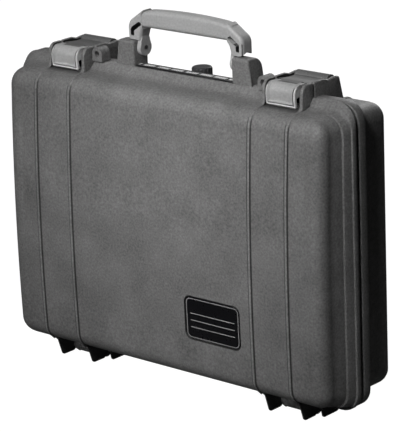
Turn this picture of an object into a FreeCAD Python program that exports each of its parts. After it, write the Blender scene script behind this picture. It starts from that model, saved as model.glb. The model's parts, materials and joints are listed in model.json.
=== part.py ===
import FreeCAD, Part
import math
import os

os.makedirs("parts", exist_ok=True)

# A moulded laptop hard case that stands on its hinge side, handle up. Millimetres.
# X runs along the length, Y from the lid's front to the base's back, Z up.
# The origin is under the middle, on the surface that the case stands on.

# Case bodies
case_length = 422.0
case_depth = 112.0
stand_height = 26.0
lid_height = 284.0
base_height = 280.0
lid_depth = 47.0
parting_gap = 0.6
wall = 5.0
body_corner = 16.0
front_rounding = 15.0
back_rounding = 14.0
overrun = 1.0

# Flange round the parting line
flange_side = 10.0
flange_rise = 8.2
flange_drop = 9.0
flange_corner = 20.0
flange_edge = 1.5
lid_flange_depth = 6.5
base_flange_depth = 14.0
step_depth = 11.0
step_side = 5.0
step_rise = 4.0
step_edge = 1.5

# Ribs, and the guards and fins that they run into
rib_rise = 1.6
rib_width = 4.4
latch_centre = 137.5
rib_pitch = 44.6
guard_rise = 22.0
lid_guard_depth = 20.0
guard_nose = 9.0
base_guard_depth = 45.0
guard_dip = 2.0
guard_dip_start = 15.0
guard_dip_end = 24.0
guard_hump = 32.0
guard_tail = 6.0
guard_softening = 2.0

# Hinges
hinge_height = 11.5
knuckle_radius = 8.0
knuckle_relief = 1.0
knuckles_per_hinge = 5
knuckle_gap = 0.3
hinge_pin_radius = 2.0
running_clearance = 0.05
pin_inset = 0.5
lid_tooth_lift = 4.0
lid_tooth_front = 23.0
lid_tooth_back = 9.0
lid_fin_front = 32.0
base_foot_front = 3.0
base_foot_back = 28.0
base_fin_back = 36.0
fin_lap_radius = 26.0
fin_lap_gap = 0.3

# Seal
seal_inset = 3.6
groove_width = 3.0
groove_depth = 7.0
seal_thickness = 3.6
seal_clearance = 0.3
tongue_width = 2.0

# Nameplate
plate_centre = 66.7
plate_height_from_floor = 63.9
plate_length = 65.2
plate_tall = 37.4
plate_corner = 6.5
plate_thickness = 1.0
recess_depth = 1.4
recess_margin = 0.6

# Latches
lever_half = 17.3
barrel_side_gap = 0.6
lever_drop = 21.6
lever_reach = 20.5
lever_crown = 0.8
lever_thickness = 3.0
lever_nose = 5.0
lever_ear_width = 6.0
lever_ear_radius = 5.0
lever_pin_radius = 1.5
lever_pin_front = 5.2
lever_rim = 2.6
lever_panel_depth = 0.8
lever_panel_corner = 3.0
arm_pin_behind = 31.5
arm_pin_below = 6.3
arm_pin_radius = 2.5
arm_barrel_radius = 6.5
arm_nose_radius = 4.4
arm_dip = 4.0
arm_flange_gap = 1.2
arm_side_gap = 0.3
hook_depth = 1.8
hook_height = 4.0
keeper_bite = 2.0
keeper_depth = 4.0
keeper_gap = 0.2
keeper_side_gap = 3.0

# Padlock eyes
eye_radius = 6.5
eye_bore_radius = 3.2
eye_side_gap = 0.6
eye_height = 7.3
lid_eye_depth = 5.8
base_eye_depth = 5.8

# Handle and its ears
ear_beside_opening = 8.2
ear_width_low = 23.8
ear_width_high = 20.3
pivot_behind = 12.8
pivot_height = 16.6
ear_arc_radius = 8.7
ear_front_rise = 7.7
ear_shoulder_gap = 0.6
ear_softening = 2.5
handle_opening_half = 54.0
handle_leg_width = 19.0
handle_foot_spread = 6.5
handle_rise = 40.5
handle_bar_height = 19.0
handle_depth = 16.0
handle_chamfer_x = 22.0
handle_chamfer_z = 15.0
handle_corner = 10.0
handle_inner_corner = 8.0
handle_edge = 3.5
lug_thickness = 5.0
lug_radius = 8.0
lug_gap = 0.5
handle_pin_radius = 2.5
handle_pin_depth = 12.0
grip_half = 54.0
core_inset = 4.0
slot_width = 4.7
slot_low = 12.2
slot_high = 27.2
slot_side = 8.5

# Pressure valve on the base's top
valve_behind = 29.6
valve_collar_radius = 9.0
valve_collar_rise = 4.0
valve_stem_radius = 6.0
valve_bore_gap = 0.3
valve_stem_below = 11.0
knob_radius = 10.2
knob_height = 9.2
knob_gap = 0.5
knob_flutes = 16
knob_flute_radius = 1.6
knob_crown = 2.0
spindle_radius = 3.0
spindle_length = 8.0
nut_across_flats = 18.0
nut_height = 5.0
nut_gap = 0.3
seal_ring_radius = 8.0
seal_ring_bore = 7.0
seal_ring_height = 1.5

# Strip on the flange between the ears
strip_thickness = 0.8
strip_side_gap = 1.0
strip_edge = 0.8

# Foam
foam_clearance = 0.3
foam_pad_thickness = 12.0
pocket_corner = 7.0
pocket_side_foam = 25.7
pocket_end_foam = 17.2
foam_recess = 3.0
lid_foam_thickness = 26.0

# Places that follow from the sizes above
front_y = -case_depth / 2
back_y = case_depth / 2
lid_face_y = front_y + rib_rise
base_face_y = back_y - rib_rise
parting_y = front_y + lid_depth
lid_rim_y = parting_y - parting_gap / 2
base_rim_y = parting_y + parting_gap / 2
body_half = case_length / 2 - flange_side
flange_half = case_length / 2
body_floor = stand_height
lid_top = body_floor + lid_height
base_top = body_floor + base_height
flange_top = lid_top + flange_rise
flange_floor = body_floor - flange_drop
guard_top = lid_top + guard_rise
cavity_half = body_half - wall
cavity_floor = body_floor + wall
cavity_top = base_top - wall
cavity_corner = body_corner - wall
lid_flange_y = lid_rim_y - lid_flange_depth
base_flange_y = base_rim_y + base_flange_depth
rib_centres = [latch_centre - rib_pitch / 2, latch_centre + rib_pitch / 2]
bay_half = (rib_pitch - rib_width) / 2
hinge_hole_radius = hinge_pin_radius + running_clearance
arm_hole_radius = arm_pin_radius + running_clearance
lever_hole_radius = lever_pin_radius + running_clearance
handle_hole_radius = handle_pin_radius + running_clearance
lever_front_y = parting_y - lever_reach
lever_top = guard_top - lever_crown
lever_floor = guard_top - lever_drop
lever_pin_y = parting_y - lever_pin_front
lever_pin_z = lever_top - lever_ear_radius
arm_pin_y = parting_y + arm_pin_behind
arm_pin_z = guard_top - arm_pin_below
barrel_half = bay_half - barrel_side_gap
pivot_y = parting_y + pivot_behind
pivot_z = flange_top + pivot_height
handle_top = pivot_z + handle_rise
handle_half = handle_opening_half + handle_leg_width
handle_foot_inner = handle_opening_half + handle_foot_spread
ear_inner = handle_opening_half + ear_beside_opening
ear_outer_low = ear_inner + ear_width_low
ear_outer_high = ear_inner + ear_width_high
valve_y = parting_y + valve_behind
eye_z = flange_top + eye_height


def vector(along, level, a, b):
    """A point at one level along an axis, with its other two coordinates in order."""
    if along == "x":
        return FreeCAD.Vector(level, a, b)
    if along == "y":
        return FreeCAD.Vector(a, level, b)
    return FreeCAD.Vector(a, b, level)


def axis_vector(along):
    """The unit vector of an axis."""
    return FreeCAD.Vector(along == "x", along == "y", along == "z")


def prism(along, corners, start, end):
    """A solid of one outline along an axis; each corner is (a, b, rounding radius)."""
    edges = []
    entries = []
    exits = []
    arcs = []
    for index, (a, b, radius) in enumerate(corners):
        here = vector(along, start, a, b)
        before = vector(along, start, *corners[index - 1][:2])
        after = vector(along, start, *corners[(index + 1) % len(corners)][:2])
        to_before = (before - here).normalize()
        to_after = (after - here).normalize()
        if radius <= 0:
            entries.append(here)
            exits.append(here)
            arcs.append(None)
            continue
        half_angle = to_before.getAngle(to_after) / 2
        tangent = radius / math.tan(half_angle)
        middle = (to_before + to_after).normalize()
        centre = here + middle * (radius / math.sin(half_angle))
        entries.append(here + to_before * tangent)
        exits.append(here + to_after * tangent)
        arcs.append(centre - middle * radius)
    for index in range(len(corners)):
        if arcs[index]:
            edges.append(Part.Arc(entries[index], arcs[index], exits[index]).toShape())
        following = entries[(index + 1) % len(corners)]
        if exits[index].distanceToPoint(following) > Part.Precision.confusion():
            edges.append(Part.makeLine(exits[index], following))
    face = Part.Face(Part.Wire(edges))
    return face.extrude(axis_vector(along) * (end - start))


def rod(along, a, b, radius, start, end):
    """A round bar along an axis."""
    return Part.makeCylinder(radius, end - start, vector(along, start, a, b), axis_vector(along))


def block(low, high):
    """A plain box between two corners."""
    size = FreeCAD.Vector(*high) - FreeCAD.Vector(*low)
    return Part.makeBox(size.x, size.y, size.z, FreeCAD.Vector(*low))


def slab(half, floor, top, corner, start, end):
    """A rounded rectangle seen from the front, run along Y."""
    corners = [(-half, floor, corner), (half, floor, corner), (half, top, corner), (-half, top, corner)]
    return prism("y", corners, start, end)


def round_rim(solid, level, radius):
    """Rounds every edge that lies at one level of Y."""
    rim = [edge for edge in solid.Edges
           if abs(edge.BoundBox.YMin - level) < running_clearance
           and abs(edge.BoundBox.YMax - level) < running_clearance]
    return solid.makeFillet(radius, rim)


def soften(solid, radius, wanted):
    """Rounds the edges that a test picks."""
    return solid.makeFillet(radius, [edge for edge in solid.Edges if wanted(edge)])


def cavity_ring(outward, half_width, start, end):
    """A ring along the case's rim, its middle a set distance outside the cavity."""
    def loop(distance):
        return slab(cavity_half + distance, cavity_floor - distance, cavity_top + distance,
                    cavity_corner + distance, start, end)
    return loop(outward + half_width).cut(loop(outward - half_width))


def mirrored(solid):
    """The same solid on the other side of the case's middle."""
    return solid.mirror(FreeCAD.Vector(), FreeCAD.Vector(1, 0, 0))


def both_sides(solid):
    """A solid and its mirror image as a list."""
    return [solid, mirrored(solid)]


def save(node, *solids):
    """Writes one node, and says what it holds."""
    shape = solids[0] if len(solids) == 1 else Part.makeCompound(list(solids))
    if len(shape.Solids) == 1:
        shape = shape.Solids[0]
    box = shape.BoundBox
    print(node, "solids", len(shape.Solids), "valid", shape.isValid(), "volume", round(shape.Volume),
          "x", round(box.XMin, 1), round(box.XMax, 1), "y", round(box.YMin, 1), round(box.YMax, 1),
          "z", round(box.ZMin, 1), round(box.ZMax, 1))
    shape.exportStep("parts/" + node + ".step")


def hinge_slices():
    """Each knuckle and fin half along one hinge as (owner, low x, high x, is a fin half)."""
    slices = []
    for side, centre in zip((-1, 1), rib_centres):
        outer = sorted((centre + side * fin_lap_gap / 2, centre + side * rib_width / 2))
        inner = sorted((centre - side * fin_lap_gap / 2, centre - side * rib_width / 2))
        slices.append(("base", outer[0], outer[1], True))
        slices.append(("lid", inner[0], inner[1], True))
    pitch = 2 * bay_half / knuckles_per_hinge
    for number in range(knuckles_per_hinge):
        low = latch_centre - bay_half + number * pitch + knuckle_gap / 2
        owner = ("base", "lid")[number % 2]
        slices.append((owner, low, low + pitch - knuckle_gap, False))
    return slices


def hinge_cut(solid, owner):
    """Clears the other half's knuckles and bores the pin hole."""
    relief = knuckle_radius + knuckle_relief
    for holder, low, high, is_fin in hinge_slices():
        if holder != owner:
            room = rod("x", parting_y, hinge_height, relief, low - knuckle_gap, high + knuckle_gap)
            for tool in both_sides(room):
                solid = solid.cut(tool)
    for holder, low, high, is_fin in hinge_slices():
        if holder == owner:
            for knuckle in both_sides(rod("x", parting_y, hinge_height, knuckle_radius, low, high)):
                solid = solid.fuse(knuckle)
    start = rib_centres[0] - rib_width
    end = rib_centres[1] + rib_width
    for hole in both_sides(rod("x", parting_y, hinge_height, hinge_hole_radius, start, end)):
        solid = solid.cut(hole)
    return solid


def lapped_ribs(outline, owner):
    """Ribs of one outline, thinned to half where they pass the other half's fins."""
    lap = rod("x", parting_y, hinge_height, fin_lap_radius, -case_length, case_length)
    ribs = []
    for centre in rib_centres:
        full = prism("x", outline, centre - rib_width / 2, centre + rib_width / 2)
        rib = full.cut(lap)
        for holder, low, high, is_fin in hinge_slices():
            if is_fin and holder == owner and abs((low + high) / 2 - centre) < rib_width:
                rib = rib.fuse(prism("x", outline, low, high))
        ribs.extend(both_sides(rib))
    return ribs


def lid_shell():
    """Lid: front tray with its flange, ribs, latch guards, fins and hinge knuckles."""
    body = round_rim(slab(body_half, body_floor, lid_top, body_corner, lid_face_y, lid_rim_y),
                     lid_face_y, front_rounding)
    flange = round_rim(slab(flange_half, flange_floor, flange_top, flange_corner,
                            lid_flange_y, lid_rim_y), lid_flange_y, flange_edge)
    step = round_rim(slab(body_half + step_side, body_floor - step_rise, lid_top + step_rise,
                          body_corner + step_rise, lid_flange_y - step_depth, lid_rim_y),
                     lid_flange_y - step_depth, step_edge)
    for centre in (-latch_centre, latch_centre):
        bay = block((centre - bay_half, lid_flange_y - step_depth - overrun, lid_top),
                    (centre + bay_half, lid_rim_y + overrun, flange_top + overrun))
        flange = flange.cut(bay)
        step = step.cut(bay)
    rib_low = body_floor - rib_rise
    rib_high = lid_top + rib_rise
    rib_corner = front_rounding + rib_rise
    guard_front_y = parting_y - lid_guard_depth
    outline = [
        (lid_rim_y, guard_top, 0),
        (guard_front_y, guard_top, guard_nose),
        (guard_front_y, rib_high, 0),
        (front_y, rib_high, rib_corner),
        (front_y, rib_low, front_rounding),
        (parting_y - lid_fin_front, rib_low, 0),
        (parting_y - lid_tooth_front, lid_tooth_lift, guard_softening),
        (parting_y - lid_tooth_back, lid_tooth_lift, 0),
        (lid_rim_y, hinge_height, 0),
    ]
    solid = body.fuse([step, flange] + lapped_ribs(outline, "lid"))
    for centre in (-latch_centre, latch_centre):
        keeper_front = lever_front_y + lever_thickness + hook_depth + keeper_gap
        keeper = [
            (keeper_front, lid_top - wall / 2, 0),
            (keeper_front, lever_floor + keeper_bite, 0),
            (keeper_front + keeper_depth / 2, lever_floor + keeper_bite, 0),
            (keeper_front + keeper_depth, lid_top - wall / 2, 0),
        ]
        solid = solid.fuse(prism("x", keeper, centre - bay_half + keeper_side_gap,
                                 centre + bay_half - keeper_side_gap))
    cavity = round_rim(slab(cavity_half, cavity_floor, cavity_top, cavity_corner,
                            lid_face_y + wall, lid_rim_y + overrun),
                       lid_face_y + wall, front_rounding - wall)
    solid = solid.cut(cavity)
    solid = solid.cut(cavity_ring(seal_inset, groove_width / 2,
                                  lid_rim_y - groove_depth, lid_rim_y + overrun))
    solid = solid.cut(plate_block(recess_margin, lid_face_y - overrun, lid_face_y + recess_depth))
    return hinge_cut(solid, "lid")


def plate_block(margin, start, end):
    """The nameplate's rounded outline, with a margin round it."""
    low_z = body_floor + plate_height_from_floor - plate_tall / 2 - margin
    high_z = low_z + plate_tall + 2 * margin
    low_x = plate_centre - plate_length / 2 - margin
    high_x = low_x + plate_length + 2 * margin
    radius = plate_corner + margin
    corners = [(low_x, low_z, radius), (high_x, low_z, radius), (high_x, high_z, radius),
               (low_x, high_z, radius)]
    return prism("y", corners, start, end)


def ear():
    """One handle ear: a pillar on the base's flange, its top round about the pivot."""
    side = [
        (base_rim_y, base_top - wall / 2, 0),
        (base_rim_y, pivot_z + ear_front_rise, ear_softening),
        (pivot_y + ear_arc_radius, pivot_z + ear_front_rise, ear_arc_radius - ear_softening / 2),
        (pivot_y + ear_arc_radius, base_top - wall / 2, 0),
    ]
    face = [
        (ear_inner, base_top - wall / 2, 0),
        (ear_outer_low, base_top - wall / 2, 0),
        (ear_outer_low, flange_top, 0),
        (ear_outer_high, pivot_z + ear_front_rise, ear_softening),
        (ear_inner, pivot_z + ear_front_rise, 0),
    ]
    pillar = prism("x", side, ear_inner, ear_outer_low)
    pillar = pillar.common(prism("y", face, base_rim_y, pivot_y + ear_arc_radius))
    hole = rod("x", pivot_y, pivot_z, handle_pin_radius, ear_inner - overrun,
               ear_inner + handle_pin_depth)
    return pillar.cut(hole)


def base_shell():
    """Base: back tray with its flange, ribs, latch guards, ears, fins and knuckles."""
    body = round_rim(slab(body_half, body_floor, base_top, body_corner, base_rim_y, base_face_y),
                     base_face_y, back_rounding)
    flange = round_rim(slab(flange_half, flange_floor, flange_top, flange_corner,
                            base_rim_y, base_flange_y), base_flange_y, flange_edge)
    rib_low = body_floor - rib_rise
    rib_high = base_top + rib_rise
    outline = [
        (base_rim_y, guard_top, 0),
        (parting_y + guard_dip_start, guard_top, 0),
        (parting_y + guard_dip_end - guard_softening, guard_top - guard_dip, guard_softening),
        (parting_y + guard_hump, guard_top - guard_dip / 2, guard_softening),
        (parting_y + base_guard_depth - guard_tail, guard_top - guard_softening, guard_softening),
        (parting_y + base_guard_depth, rib_high, 0),
        (back_y, rib_high, back_rounding + rib_rise),
        (back_y, rib_low, back_rounding),
        (parting_y + base_fin_back, rib_low, 0),
        (parting_y + base_foot_back, 0, guard_softening),
        (parting_y + base_foot_front, 0, 0),
        (base_rim_y, hinge_height, 0),
    ]
    solid = body.fuse([flange] + lapped_ribs(outline, "base") + both_sides(ear()))
    cavity = round_rim(slab(cavity_half, cavity_floor, cavity_top, cavity_corner,
                            base_rim_y - overrun, base_face_y - wall),
                       base_face_y - wall, back_rounding - wall)
    solid = solid.cut(cavity)
    tongue_reach = groove_depth - seal_thickness - seal_clearance
    solid = solid.fuse(cavity_ring(seal_inset, tongue_width / 2, lid_rim_y - tongue_reach,
                                   base_rim_y + wall))
    pin_start = rib_centres[0] - rib_width
    pin_end = rib_centres[1] + rib_width
    for hole in both_sides(rod("x", arm_pin_y, arm_pin_z, arm_hole_radius, pin_start, pin_end)):
        solid = solid.cut(hole)
    solid = solid.cut(rod("z", 0, valve_y, valve_stem_radius + valve_bore_gap,
                          cavity_top - overrun, base_top + overrun)).cut(nut_room())
    return hinge_cut(solid, "base")


def latch_lever():
    """Latch lever: the wide plate in front with its panel, its top, pin ears and hook lip."""
    crown_end = lever_pin_y - arm_nose_radius - arm_side_gap
    outer = [
        (lever_front_y, lever_floor, lever_thickness / 3),
        (lever_front_y, lever_top, lever_nose),
        (crown_end, lever_top, 0),
        (crown_end, lever_top - lever_thickness, 0),
        (lever_front_y + lever_thickness, lever_top - lever_thickness, lever_nose - lever_thickness),
        (lever_front_y + lever_thickness, lever_floor, 0),
    ]
    low = latch_centre - lever_half
    high = latch_centre + lever_half
    solid = prism("x", outer, low, high)
    lip = [
        (lever_front_y + lever_thickness / 2, lever_floor, 0),
        (lever_front_y + lever_thickness + hook_depth, lever_floor, 0),
        (lever_front_y + lever_thickness + hook_depth, lever_floor + hook_height / 2, 0),
        (lever_front_y + lever_thickness / 2, lever_floor + hook_height, 0),
    ]
    solid = solid.fuse(prism("x", lip, low, high))
    ear_outline = [
        (lever_front_y + lever_thickness / 2, lever_floor + 2 * hook_height, 0),
        (lever_pin_y, lever_pin_z - lever_ear_radius, 0),
        (lever_pin_y, lever_top, 0),
        (crown_end - lever_ear_radius, lever_top, 0),
        (lever_front_y + lever_thickness / 2, lever_top - lever_nose, 0),
    ]
    for start in (low, high - lever_ear_width):
        solid = solid.fuse(prism("x", ear_outline, start, start + lever_ear_width))
        solid = solid.fuse(rod("x", lever_pin_y, lever_pin_z, lever_ear_radius,
                               start, start + lever_ear_width))
    panel = [
        (low + lever_rim, lever_floor + lever_rim, lever_panel_corner),
        (high - lever_rim, lever_floor + lever_rim, lever_panel_corner),
        (high - lever_rim, lever_top - lever_nose, lever_panel_corner),
        (low + lever_rim, lever_top - lever_nose, lever_panel_corner),
    ]
    solid = solid.cut(prism("y", panel, lever_front_y - overrun, lever_front_y + lever_panel_depth))
    return solid.cut(rod("x", lever_pin_y, lever_pin_z, lever_hole_radius,
                         low - overrun, high + overrun))


def latch_arm():
    """Latch arm: a barrel on the guards' pin, a plate over the flange and a nose for the lever."""
    floor = flange_top + arm_flange_gap
    low = latch_centre - lever_half
    high = latch_centre + lever_half
    shoulder = lever_pin_y + lever_ear_radius + arm_side_gap
    crown = lever_pin_z + arm_nose_radius
    dip_y = (shoulder + arm_pin_y) / 2
    wide = [
        (shoulder, floor, 0),
        (arm_pin_y, floor, 0),
        (arm_pin_y, arm_pin_z + arm_barrel_radius / 2, 0),
        (dip_y, crown - arm_dip / 2, arm_nose_radius),
        (shoulder, crown, 0),
    ]
    narrow = [
        (lever_pin_y, floor, 0),
        (shoulder + overrun, floor, 0),
        (shoulder + overrun, crown, 0),
        (lever_pin_y, crown, 0),
    ]
    nose_low = low + lever_ear_width + arm_side_gap
    nose_high = high - lever_ear_width - arm_side_gap
    solid = rod("x", arm_pin_y, arm_pin_z, arm_barrel_radius, latch_centre - barrel_half,
                latch_centre + barrel_half)
    solid = solid.fuse([prism("x", wide, low, high), prism("x", narrow, nose_low, nose_high),
                        rod("x", lever_pin_y, lever_pin_z, arm_nose_radius, nose_low, nose_high)])
    for along_y, along_z, radius in ((arm_pin_y, arm_pin_z, arm_hole_radius),
                                     (lever_pin_y, lever_pin_z, lever_hole_radius)):
        solid = solid.cut(rod("x", along_y, along_z, radius, latch_centre - rib_pitch,
                              latch_centre + rib_pitch))
    return solid


def handle_outline(inset):
    """Front view of the handle's outer arch, an inset inside its real edge."""
    foot = pivot_z + ear_front_rise + ear_shoulder_gap
    half = handle_half - inset
    top = handle_top - inset
    return [
        (-half, foot, 0),
        (half, foot, 0),
        (half, handle_top - handle_chamfer_z, handle_corner),
        (handle_half - handle_chamfer_x, top, handle_corner),
        (-handle_half + handle_chamfer_x, top, handle_corner),
        (-half, handle_top - handle_chamfer_z, handle_corner),
    ]


def handle_front():
    """The handle's front face."""
    return pivot_y - handle_depth / 2


def handle_frame():
    """Handle frame: two arms with their lugs and slots, and the core under the grip."""
    front = handle_front()
    back = front + handle_depth
    opening_top = handle_top - handle_bar_height
    opening = [
        (-handle_foot_inner, pivot_z, 0),
        (handle_foot_inner, pivot_z, 0),
        (handle_opening_half, opening_top, handle_inner_corner),
        (-handle_opening_half, opening_top, handle_inner_corner),
    ]
    solid = prism("y", handle_outline(0), front, back)
    solid = solid.cut(prism("y", opening, front - overrun, back + overrun))
    sleeve = block((-grip_half, front - overrun, opening_top - overrun),
                   (grip_half, back + overrun, handle_top + overrun))
    core = block((-grip_half - core_inset, front + core_inset, opening_top + core_inset),
                 (grip_half + core_inset, back - core_inset, handle_top - core_inset))
    arms = soften(solid, handle_edge, handle_outer_edge)
    solid = arms.cut(sleeve).fuse(core)
    lug_high = ear_inner - lug_gap
    lug_low = lug_high - lug_thickness
    lug_side = [
        (pivot_y - lug_radius, pivot_z, 0),
        (pivot_y + lug_radius, pivot_z, 0),
        (back - handle_edge, opening_top - handle_inner_corner, 0),
        (front + handle_edge, opening_top - handle_inner_corner, 0),
    ]
    for lug in (prism("x", lug_side, lug_low, lug_high),
                rod("x", pivot_y, pivot_z, lug_radius, lug_low, lug_high)):
        for piece in both_sides(lug):
            solid = solid.fuse(piece)
    hole = rod("x", pivot_y, pivot_z, handle_hole_radius, lug_low - overrun, lug_high + overrun)
    room = rod("x", pivot_y, pivot_z, ear_arc_radius + ear_shoulder_gap + ear_softening,
               ear_inner - lug_gap, handle_half + overrun)
    for tool in both_sides(hole) + both_sides(room):
        solid = solid.cut(tool)
    for tool in both_sides(handle_slot(front - overrun, back + overrun)):
        solid = solid.cut(tool)
    return solid


def handle_outer_edge(edge):
    """True for the arch's long edges, front and back, above the feet."""
    box = edge.BoundBox
    flat = box.YMax - box.YMin < running_clearance
    return flat and box.ZMax > pivot_z + ear_front_rise + overrun


def handle_slot(start, end):
    """The bent slot in one shoulder, beside the outer edge."""
    outer_low = handle_half - slot_side + slot_width
    inner_low = handle_half - slot_side
    low = pivot_z + slot_low
    high = pivot_z + slot_high
    lean = handle_chamfer_x / 2
    middle = (low + high) / 2
    corners = [
        (inner_low, low, slot_width / 3),
        (outer_low, low, slot_width / 3),
        (outer_low, middle, slot_width),
        (outer_low - lean, high, slot_width / 3),
        (inner_low - lean, high - slot_width / 2, slot_width / 3),
        (inner_low, middle - slot_width / 2, 0),
    ]
    return prism("y", corners, start, end)


def handle_grip():
    """Soft grip: a sleeve over the handle's core."""
    front = handle_front()
    back = front + handle_depth
    opening_top = handle_top - handle_bar_height
    section = [
        (front, opening_top, handle_edge),
        (back, opening_top, handle_edge),
        (back, handle_top, handle_edge),
        (front, handle_top, handle_edge),
    ]
    core = block((-grip_half - overrun, front + core_inset, opening_top + core_inset),
                 (grip_half + overrun, back - core_inset, handle_top - core_inset))
    return prism("x", section, -grip_half, grip_half).cut(core)


def padlock_eye(start, end):
    """One padlock eye on the flange, beside a latch guard."""
    x = rib_centres[0] - rib_width / 2 - eye_side_gap - eye_radius
    foot = block((x - eye_radius, start, flange_top), (x + eye_radius, end, eye_z))
    ring = rod("y", x, eye_z, eye_radius, start, end).fuse(foot)
    return ring.cut(rod("y", x, eye_z, eye_bore_radius, start - overrun, end + overrun))


def valve_housing():
    """Valve housing: a collar on the base's top with a hollow stem through the wall."""
    collar = rod("z", 0, valve_y, valve_collar_radius, base_top + seal_ring_height,
                 base_top + valve_collar_rise)
    stem = rod("z", 0, valve_y, valve_stem_radius, base_top - valve_stem_below,
               base_top + valve_collar_rise)
    hole = rod("z", 0, valve_y, spindle_radius + running_clearance,
               base_top - valve_stem_below - overrun, base_top + valve_collar_rise + overrun)
    return collar.fuse(stem).cut(hole)


def valve_knob():
    """Valve knob: a fluted cap on a spindle that turns in the housing."""
    floor = base_top + valve_collar_rise + knob_gap
    cap = rod("z", 0, valve_y, knob_radius, floor, floor + knob_height)
    cap = cap.makeFillet(knob_crown, [edge for edge in cap.Edges
                                      if edge.BoundBox.ZMin > floor + knob_height / 2])
    for number in range(knob_flutes):
        angle = 2 * math.pi * number / knob_flutes
        x = (knob_radius + knob_flute_radius / 2) * math.cos(angle)
        y = valve_y + (knob_radius + knob_flute_radius / 2) * math.sin(angle)
        cap = cap.cut(rod("z", x, y, knob_flute_radius, floor - overrun, floor + knob_height + overrun))
    spindle = rod("z", 0, valve_y, spindle_radius, floor - spindle_length, floor + knob_height / 2)
    return cap.fuse(spindle)


def valve_nut():
    """Hexagon nut under the base's top wall."""
    across_corners = nut_across_flats / 2 / math.cos(math.pi / 6)
    corners = []
    for number in range(6):
        angle = math.pi / 3 * number
        corners.append((across_corners * math.cos(angle), valve_y + across_corners * math.sin(angle), 0))
    top = cavity_top - nut_gap
    nut = prism("z", corners, top - nut_height, top)
    return nut.cut(rod("z", 0, valve_y, valve_stem_radius, top - nut_height - overrun, top + overrun))


def valve_seal():
    """Flat ring under the valve's collar."""
    ring = rod("z", 0, valve_y, seal_ring_radius, base_top, base_top + seal_ring_height)
    return ring.cut(rod("z", 0, valve_y, seal_ring_bore, base_top - overrun,
                        base_top + seal_ring_height + overrun))


def base_foam_block():
    """Foam frame in the base, with the laptop's pocket right through it."""
    start = base_rim_y + foam_recess
    end = base_face_y - wall - foam_pad_thickness - 2 * foam_clearance
    outer = foam_slab(start, end)
    pocket = slab(cavity_half - foam_clearance - pocket_side_foam,
                  cavity_floor + foam_clearance + pocket_end_foam,
                  cavity_top - foam_clearance - pocket_end_foam,
                  pocket_corner, start - overrun, end + overrun)
    return outer.cut(pocket).cut(nut_room())


def nut_room():
    """The space kept free inside for the valve's stem and nut."""
    return rod("z", 0, valve_y, nut_across_flats, base_top - wall - nut_height - valve_stem_below,
               cavity_top)


def foam_slab(start, end):
    """A plain foam sheet that fills the cavity's outline."""
    return slab(cavity_half - foam_clearance, cavity_floor + foam_clearance,
                cavity_top - foam_clearance, cavity_corner - foam_clearance, start, end)


def make_pair(node, solid):
    """Saves a right-hand solid and its mirror image as two nodes."""
    save(node + "_right", solid)
    save(node + "_left", mirrored(solid))


save("lid_shell", lid_shell())
save("base_shell", base_shell())
gasket_start = lid_rim_y - groove_depth + seal_clearance
save("lid_gasket", cavity_ring(seal_inset, groove_width / 2 - seal_clearance, gasket_start,
                               gasket_start + seal_thickness - seal_clearance))
save("nameplate", plate_block(0, lid_face_y + recess_depth - plate_thickness,
                              lid_face_y + recess_depth))

pin_low = rib_centres[0] - rib_width / 2 + pin_inset
pin_high = rib_centres[1] + rib_width / 2 - pin_inset
make_pair("hinge_pin", rod("x", parting_y, hinge_height, hinge_pin_radius, pin_low, pin_high))
make_pair("latch_pin", rod("x", arm_pin_y, arm_pin_z, arm_pin_radius, pin_low, pin_high))
make_pair("lever_pin", rod("x", lever_pin_y, lever_pin_z, lever_pin_radius,
                           latch_centre - lever_half + pin_inset,
                           latch_centre + lever_half - pin_inset))
make_pair("latch_arm", latch_arm())
make_pair("latch_lever", latch_lever())

save("handle_frame", handle_frame())
save("handle_grip", handle_grip())
make_pair("handle_pin", rod("x", pivot_y, pivot_z, handle_pin_radius,
                            ear_inner - lug_gap - lug_thickness, ear_inner + handle_pin_depth))

save("lid_padlock_eyes", *both_sides(padlock_eye(lid_rim_y - lid_eye_depth, lid_rim_y)))
save("base_padlock_eyes", *both_sides(padlock_eye(base_rim_y, base_rim_y + base_eye_depth)))

save("valve_housing", valve_housing())
save("valve_knob", valve_knob())
save("valve_seal", valve_seal())
save("valve_nut", valve_nut())
strip_half = ear_inner - strip_side_gap
save("valve_strip", block((-strip_half, base_rim_y + strip_edge, flange_top),
                          (strip_half, base_flange_y - flange_edge, flange_top + strip_thickness)))

foam_back = base_face_y - wall - foam_clearance
foam_pad = round_rim(foam_slab(foam_back - foam_pad_thickness, foam_back), foam_back,
                     back_rounding - wall - foam_clearance)
save("base_foam_pad", foam_pad.cut(nut_room()))
save("base_foam_block", base_foam_block())
lid_foam_start = lid_face_y + wall + foam_clearance
save("lid_foam", round_rim(foam_slab(lid_foam_start, lid_foam_start + lid_foam_thickness),
                           lid_foam_start, front_rounding - wall - foam_clearance))
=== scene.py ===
import bmesh
import bpy
import json
import math
import numpy as np
from mathutils import Matrix, Vector


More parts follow.
